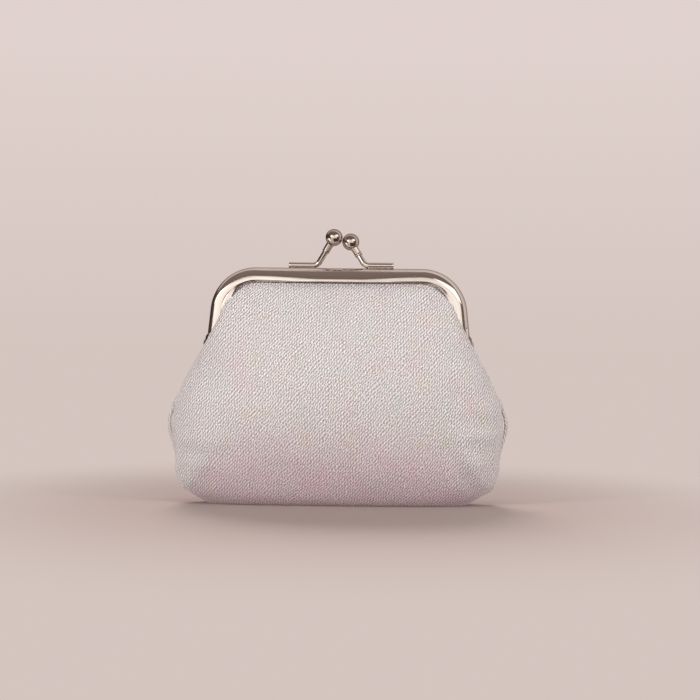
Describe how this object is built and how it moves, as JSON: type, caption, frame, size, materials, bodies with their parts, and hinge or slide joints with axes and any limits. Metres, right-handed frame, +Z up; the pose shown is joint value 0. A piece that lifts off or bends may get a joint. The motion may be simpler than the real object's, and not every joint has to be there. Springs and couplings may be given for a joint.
{
  "type": "squeeze coin purse",
  "caption": "Padded fabric coin purse on a hinged metal channel frame, closed by a crossed-ball kiss-lock clasp.",
  "frame": {"origin": "middle of the flat base, on the surface that the purse stands on", "axes": "+Z up from the base to the clasp, +X along the hinge pins to the right seen from the front, -Y out of the front panel"},
  "size_m": [0.1112, 0.036, 0.0904],
  "materials": {
    "frame_metal": "bright nickel plate",
    "hinge_metal": "bright nickel plate",
    "outer_fabric": "pearly woven cloth with a fine diagonal grain",
    "padding": "matt fleece",
    "lining": "smooth satin",
    "paper_cord": "matt twisted paper"
  },
  "bodies": {
    "pouch": {"left_hinge_rivet": "hinge_metal", "right_hinge_rivet": "hinge_metal", "left_hinge_washer": "hinge_metal", "right_hinge_washer": "hinge_metal", "front_fabric_belly": "outer_fabric", "front_padding_belly": "padding", "front_lining_belly": "lining", "rear_fabric_belly": "outer_fabric", "rear_padding_belly": "padding", "rear_lining_belly": "lining"},
    "front_clasp": {"front_frame": "frame_metal", "front_clasp_arm": "frame_metal", "front_clasp_ball": "frame_metal", "front_paper_cord": "paper_cord", "front_fabric_mouth": "outer_fabric", "front_padding_mouth": "padding", "front_lining_mouth": "lining"},
    "rear_clasp": {"rear_frame": "frame_metal", "rear_clasp_arm": "frame_metal", "rear_clasp_ball": "frame_metal", "rear_paper_cord": "paper_cord", "rear_fabric_mouth": "outer_fabric", "rear_padding_mouth": "padding", "rear_lining_mouth": "lining"}
  },
  "joints": [
    {"name": "front_hinge", "type": "hinge", "parent": "pouch", "child": "front_clasp", "pos_m": [0, 0, 0.052], "axis": [1, 0, 0], "range_deg": [0, 45], "deforming": ["front_fabric_mouth", "front_padding_mouth", "front_lining_mouth"]},
    {"name": "rear_hinge", "type": "hinge", "parent": "pouch", "child": "rear_clasp", "pos_m": [0, 0, 0.052], "axis": [1, 0, 0], "range_deg": [-45, 0], "deforming": ["rear_fabric_mouth", "rear_padding_mouth", "rear_lining_mouth"]}
  ],
  "couplings": [
    {"joint": "rear_hinge", "follows": "front_hinge", "ratio": -1}
  ]
}
